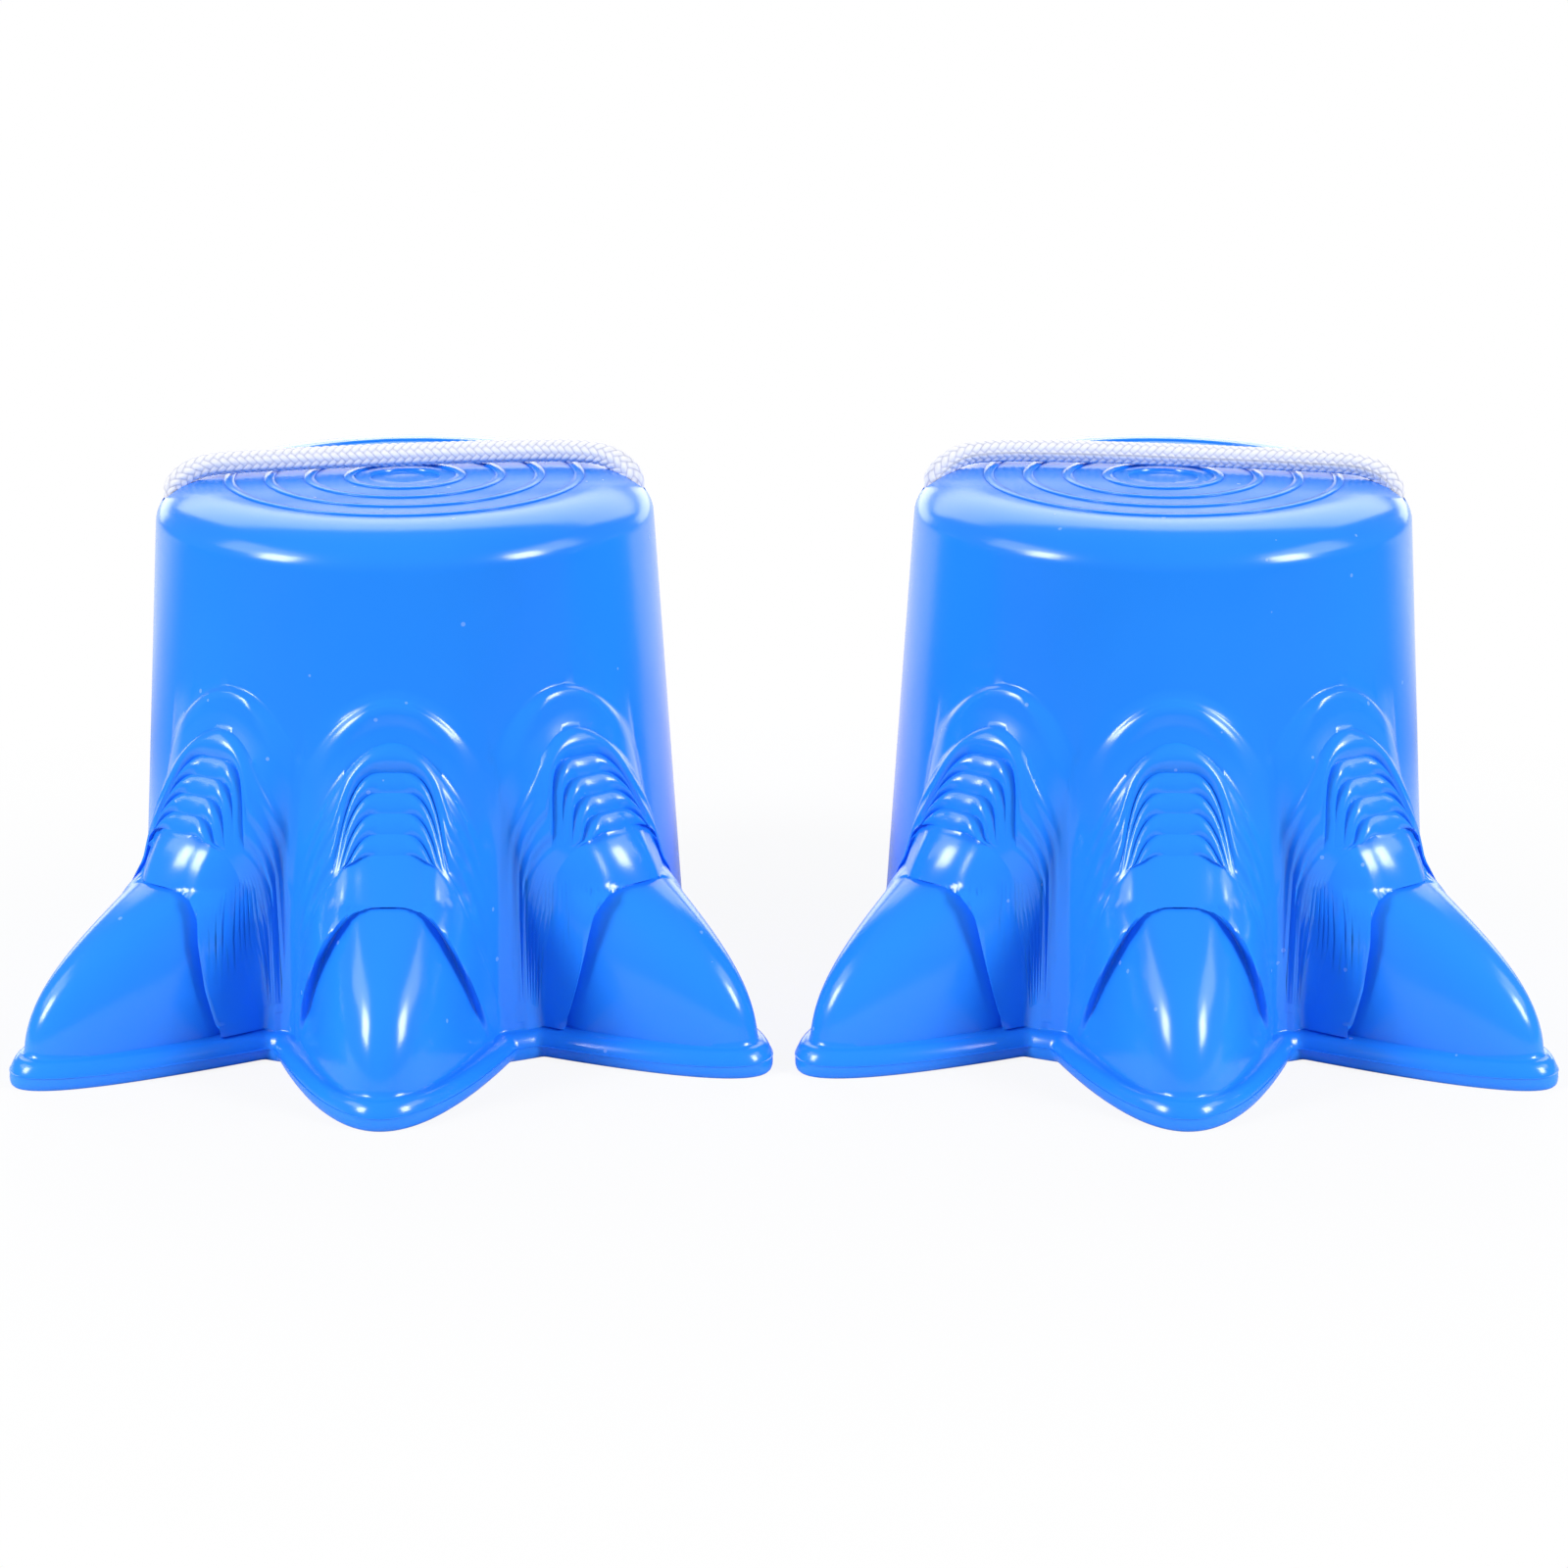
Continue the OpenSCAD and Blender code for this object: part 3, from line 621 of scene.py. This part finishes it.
def row_finder(deg):
    """Finds the height of a row in each direction: rows keep to the crease lines."""
    heights = np.linspace(shoulder_z, foot_z, 900)
    passed = nearest_crease(deg, heights[:, None], body_r(deg, heights[:, None], 0))[1]
    passed = np.minimum.accumulate(passed, axis=0)

    def row_z(c):
        # the lowest rows stay a little apart, above the bead
        met = np.array([np.interp(-c, -passed[:, k], heights) for k in range(len(deg))])
        return np.maximum(met, lerp(foot_z, c, 0.1))
    return row_z


def shoulder_point(share, out):
    a = math.pi / 2 * share
    return (lerp(tread_r, wall_r, math.cos(a)) + out * math.cos(a),
            lerp(shoulder_z, tread_h, math.sin(a)) + out * math.sin(a))


def crease_rows():
    """Heights of the rows from the bead to the shoulder, close together at every crease."""
    claw_rows = np.linspace(foot_z, claw_h - 0.5, 24)
    lip_rows = claw_h + np.array([-0.3, -0.15, -0.02, 0.02, 0.25, 0.55])
    fold_foot = claw_h + 0.9
    fold_rows = fold_foot + (fold_top - fold_foot) * np.linspace(0, 1, 15)[:-1]
    shares = np.array([0, 0.03, 0.1, 0.22, 0.38, 0.55, 0.72, 0.86, 0.95])
    wrinkle_rows = [fold_top + (i + shares) * wrinkle_pitch for i in range(wrinkles)]
    knuckle_rows = lerp(knuckle_foot, knuckle_top, np.linspace(0, 1, 25))
    band_rows = np.linspace(knuckle_top + 1.2, arch_h - 1.3, 5)
    arch_rows = arch_h + np.array([-1.1, -0.8, -0.5, -0.2, 0, 0.5])
    wall_rows = np.linspace(arch_h + 3, shoulder_z - 0.5, 11)
    return np.concatenate([claw_rows, lip_rows, fold_rows, *wrinkle_rows, knuckle_rows,
                           band_rows, arch_rows, wall_rows])


def shell_points():
    """Rows of points from the foot of the bead, up outside, over the tread, and down inside."""
    # directions in degrees from the front, close together round the toes
    toe_side = np.linspace(-84, 84, 304, endpoint=False)
    back_side = np.linspace(84, 276, 88, endpoint=False)
    deg = np.concatenate([toe_side, back_side])
    rows = []

    def ring(r, z):
        a = np.radians(deg)
        rows.append(np.stack([r * np.sin(a), -r * np.cos(a), np.broadcast_to(z, a.shape)], axis=1))

    # section of the bead: share of its width, and height, with a thin seam line half way
    for out, z in ((0.50, 0), (0.62, 0.02), (0.76, 0.35), (0.88, 0.95), (0.95, 1.6),
                   (0.99, 2.3), (1.0, 2.9), (1.0, 3.15), (1.08, 3.22), (1.08, 3.38),
                   (1.0, 3.45), (0.99, 3.7), (0.94, 4.4), (0.84, 5.2), (0.70, 5.9),
                   (0.52, 6.35), (0.34, 6.55), (0.14, 6.7)):
        ring(body_r(deg, z, rim_out * out), z)
    row_z = row_finder(deg)
    for c in crease_rows():
        z = row_z(c)
        ring(body_r(deg, z, skin_at(deg, z)), z)
    for share in np.linspace(0, 1, 15):
        ring(*shoulder_point(share, 0))
    # the tread, with its sunk middle
    for r, down in ((44, 0), (41, 0), (35, 0), (26, 0), (16, 0), (10, 0), (8.55, 0),
                    (8.35, 0.08), (8.25, 0.4), (8, 0.5), (4, 0.5), (0.5, 0.5)):
        ring(r, tread_h - down)
    outside = len(rows)
    for r in (0.5, 20, tread_r - wall_t):
        ring(r, tread_h - wall_t)
    for share in (0.84, 0.68, 0.52, 0.36, 0.2):
        ring(*shoulder_point(share, -wall_t))
    for z in np.concatenate([np.linspace(shoulder_z - wall_t, 8, 26), [5, 2.5, 0]]):
        ring(body_r(deg, z, -wall_t) + np.minimum(skin_at(deg, z), 0), z)
    return np.array(rows), outside


shell_rows, outside_rows = shell_points()


def shell_mesh(name, side):
    """Faces between neighbouring rows, and one round face in the tread's middle on both sides."""
    rows, columns = shell_rows.shape[:2]
    i, j = np.meshgrid(np.arange(rows), np.arange(columns), indexing="ij")
    here, above, right = i * columns, (i + 1) % rows * columns, (j + 1) % columns
    faces = np.stack([here + j, here + right, above + right, above + j], axis=-1)
    faces = np.delete(faces, outside_rows - 1, axis=0).reshape(-1, 4).tolist()
    faces.append(((outside_rows - 1) * columns + np.arange(columns)).tolist())
    faces.append((outside_rows * columns + np.arange(columns)[::-1]).tolist())
    mesh = bpy.data.meshes.new(name)
    mesh.from_pydata(stand(shell_rows.reshape(-1, 3), side).tolist(), [], faces)
    if side > 0:
        mesh.flip_normals()
    return mesh


# the rope holes, drilled at a lean through the shoulder, and the grooves that lead to them
hole_deg, hole_r, hole_lean, drill_r, drill_half = {-1: 89, 1: 98}, 56.2, 35, 3.4, 6.2
groove_r, groove_foot, groove_start = 2.9, 120.5, 49


def cut_holes(shell, side):
    """Cuts the two rope holes and the short grooves by which the rope reaches them."""
    hole_z = lerp(shoulder_z, tread_h,
                  math.sqrt(1 - ((hole_r - tread_r) / (wall_r - tread_r)) ** 2))
    made = bmesh.new()
    grooves = []
    for hand, deg in hole_deg.items():
        a, tilt = math.radians(deg), math.radians(hole_lean)
        outwards = np.array([hand * math.sin(a), -math.cos(a), 0])
        centre = hole_r * outwards + (0, 0, hole_z)
        way = outwards * math.sin(tilt) + (0, 0, math.cos(tilt))
        ends = stand([centre - way * drill_half, centre + way * drill_half], side)
        axis = Vector(ends[1] - ends[0])
        place = axis.to_track_quat("Z", "Y").to_matrix().to_4x4()
        place.translation = Vector((ends[0] + ends[1]) / 2)
        bmesh.ops.create_cone(made, cap_ends=True, segments=48, radius1=drill_r * mm,
                              radius2=drill_r * mm, depth=axis.length, matrix=place)
        near = (cord_line[:, 2] > groove_foot) & (cord_line[:, 0] * hand > groove_start)
        grooves.append(stand(cord_line[near], side))
    drill = bpy.data.objects.new("drill", bpy.data.meshes.new("drill"))
    made.to_mesh(drill.data)
    made.free()
    bpy.context.collection.objects.link(drill)
    groove = curve_object("groove", *grooves)
    groove.data.bevel_depth, groove.data.bevel_resolution = groove_r * mm, 6
    groove.data.use_fill_caps = True
    for cutter in (drill, groove):
        cut = shell.modifiers.new("cut", "BOOLEAN")
        cut.operation, cut.solver, cut.object = "DIFFERENCE", "MANIFOLD", cutter
    drilled = plain_mesh(shell)
    shell.modifiers.clear()
    shell.data = drilled
    bpy.data.objects.remove(drill)
    bpy.data.objects.remove(groove)


def plastic_material():
    """Glossy blue polypropylene: slightly wavy from the mould, with faint scuffs and specks."""
    made = bpy.data.materials.new("glossy_blue_polypropylene")
    tree = empty_tree(made)
    place = tree.wire("ShaderNodeTexCoord", output="Object")
    cloud, waves, grain = (tree.noise(place, 18, 3), tree.noise(place, 45, 2),
                           tree.noise(place, 900, 2))
    speck = tree.wire("ShaderNodeTexVoronoi", {"feature": "F1"}, {"Vector": place, "Scale": 170})
    dot = (speck < 0.09) * (tree.noise(place, 60, 1) > 0.58)
    deep_blue, blue = (0.014, 0.235, 0.93, 1), (0.022, 0.270, 0.97, 1)
    pale_blue = (0.35, 0.55, 0.98, 1)
    colour = tree.mix(dot * 0.35, tree.mix(cloud, deep_blue, blue), pale_blue)
    bump = tree.wire("ShaderNodeBump", None, {
        "Strength": 0.35, "Distance": 0.0004, "Height": waves + grain * 0.03})
    surface = tree.wire("ShaderNodeBsdfPrincipled", None, {
        "Base Color": colour, "Roughness": 0.14 + cloud * 0.10 + dot * 0.2, "IOR": 1.49,
        "Normal": bump})
    tree.add("ShaderNodeOutputMaterial", None, {0: surface})
    return made


shell_blue = plastic_material()
sharp_from = math.radians(50)
for side, name in stilts:
    shell = bpy.data.objects.new(name + "_clawed_shell", shell_mesh(name + "_clawed_shell", side))
    bpy.context.collection.objects.link(shell)
    cut_holes(shell, side)
    shell.data.materials.clear()
    shell.data.materials.append(shell_blue)
    shell.data.shade_smooth()
    shell.data.set_sharp_from_angle(angle=sharp_from)
    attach(shell, name + "_stilt")
    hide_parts(name + "_shell")


# ---- Tread rings ----
# Four low ribs moulded on the tread, round its sunk middle, which keep a shoe from slipping.
# They belong to the moulding and have its finish; each has a flared foot and a rounded crest.

# the rings in metres; half the rib's section, from its middle and from the tread, in mm
ring_count, ring_r, ring_pitch = 4, 0.0421, 0.00955
rib_half = [(1.15, -0.3), (1.15, 0.0), (0.78, 0.08), (0.58, 0.26), (0.46, 0.46), (0.3, 0.63),
            (0.1, 0.7)]
rib_section = np.array([(x, z, 0) for x, z in rib_half]
                       + [(-x, z, 0) for x, z in reversed(rib_half)])


def ring_group():
    """Geometry Nodes that repeat one rib at an even pitch, from the outer ring inwards."""
    tree, (section, count, outer, pitch, finish) = geometry_tree("tread_rings", (
        ("Section", "Geometry", None), ("Count", "Int", ring_count),
        ("Outer radius", "Float", ring_r), ("Pitch", "Float", ring_pitch),
        ("Finish", "Material", None)), "Rings")
    number = tree.wire("GeometryNodeInputIndex")
    places = tree.wire("GeometryNodeMeshLine", {"mode": "OFFSET"},
                       {"Count": count, "Offset": (0, 0, 0)})
    circle = tree.wire("GeometryNodeCurvePrimitiveCircle", {"mode": "RADIUS"},
                       {"Resolution": 160, "Radius": 1.0})
    share = outer - pitch * number
    size = tree.wire("ShaderNodeCombineXYZ", None, {0: share, 1: share, 2: 1.0})
    copies = tree.wire("GeometryNodeInstanceOnPoints", None,
                       {"Points": places, "Instance": circle, "Scale": size})
    circles = tree.wire("GeometryNodeRealizeInstances", None, {0: copies})
    swept = tree.wire("GeometryNodeCurveToMesh", None,
                      {"Curve": circles, "Profile Curve": section})
    return finish_group(tree, swept, finish)


rings = ring_group()
for side, name in stilts:
    rib = curve_object(name + "_tread_rings", rib_section * mm)
    rib.data.splines[0].use_cyclic_u = True
    made = grown(rib, rings, {"Finish": shell_blue})
    made.data.transform(Matrix.Translation(stand((0, 0, tread_h), side)))
    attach(made, name + "_stilt")


# ---- Floor and light ----
# A white floor that keeps the stilts' soft shadow, with light painted on it that only reflections
# see, and a white surround for the camera.
# The light comes from a soft box and a weaker reflector at each side in front, a large soft box
# above and behind, and a low glow far behind.

floor_half, aim_at = 6, Vector((0, 0, 0.06))
white = (1, 1, 1, 1)


def floor_material():
    """White for the camera and nearly clear of shadow; to the light, a floor with painted light,
    pale round and behind the stilts and dark further off.
    """
    made = bpy.data.materials.new("white_floor")
    tree = empty_tree(made)

    def ramp(value, start, end, low, high):
        values = dict(enumerate((value, start, end, low, high)))
        return tree.wire("ShaderNodeMapRange", None, values)

    seen = tree.wire("ShaderNodeLightPath", output="Is Camera Ray")
    place = tree.wire("ShaderNodeTexCoord", output="Object")
    away = tree.wire("ShaderNodeVectorMath", {"operation": "LENGTH"}, {0: place}, "Value")
    parts = tree.add("ShaderNodeSeparateXYZ", None, {0: place})
    across, behind = Wire(tree, parts.outputs[0]), Wire(tree, parts.outputs[1])
    clear = ramp(away, 0.2, 0.32, 0.9, 1.0)
    # painted light, seen only in reflections: pale where the light pools round the stilts and in a
    # wedge behind them, dark elsewhere, where the light falls off
    near = ramp(away, 0.28, 0.42, 0.75, 0.08)
    painted_light_behind = ramp(behind - across.maths("ABSOLUTE") * 0.35, 0.0, 0.25, 0.0, 0.8)
    plain = tree.wire("ShaderNodeBsdfDiffuse", None, {"Color": near.maths("MAXIMUM", painted_light_behind)})
    glow = tree.wire("ShaderNodeEmission", None, {"Color": white, "Strength": 1.0})
    mixed = tree.wire("ShaderNodeMixShader", None, {0: seen * clear, 1: plain, 2: glow})
    tree.add("ShaderNodeOutputMaterial", None, {0: mixed})
    return made


floor = bpy.data.objects.new("floor", bpy.data.meshes.new("floor"))
floor.data.from_pydata([(x * floor_half, y * floor_half, 0)
                        for x, y in ((-1, -1), (1, -1), (1, 1), (-1, 1))], [], [[0, 1, 2, 3]])
floor.data.materials.append(floor_material())
bpy.context.collection.objects.link(floor)


def soft_box(name, at, size, power):
    """A rectangular white lamp that faces the middle of the stilts."""
    lamp = bpy.data.lights.new(name, "AREA")
    lamp.shape, lamp.size, lamp.size_y, lamp.energy = "RECTANGLE", *size, power
    made = bpy.data.objects.new(name, lamp)
    made.location = at
    made.rotation_euler = (aim_at - Vector(at)).to_track_quat("-Z", "Y").to_euler()
    bpy.context.collection.objects.link(made)


for hand, name in stilts:
    soft_box("soft_box_" + name, (1.26 * hand, -0.73, 0.70), (0.42, 0.5), 15)
    soft_box("reflector_" + name, (1.19 * hand, -0.32, 0.86), (0.9, 0.6), 5.5)
soft_box("soft_box_top", (0, 1.15, 0.95), (2.0, 0.9), 14)
soft_box("backdrop_glow", (0, 2.0, 0.27), (3.2, 0.52), 13)

world = bpy.data.worlds.new("white_surround")
bpy.context.scene.world = world
sky = empty_tree(world)
seen = sky.wire("ShaderNodeLightPath", output="Is Camera Ray")
backdrop = sky.wire("ShaderNodeBackground", None, {"Color": white, "Strength": 1.0})
soft = sky.wire("ShaderNodeBackground", None, {"Color": (0.85, 0.88, 1, 1), "Strength": 0.22})
both = sky.wire("ShaderNodeMixShader", None, {0: seen, 1: soft, 2: backdrop})
sky.add("ShaderNodeOutputWorld", None, {0: both})
bpy.context.scene.view_settings.view_transform = "Standard"
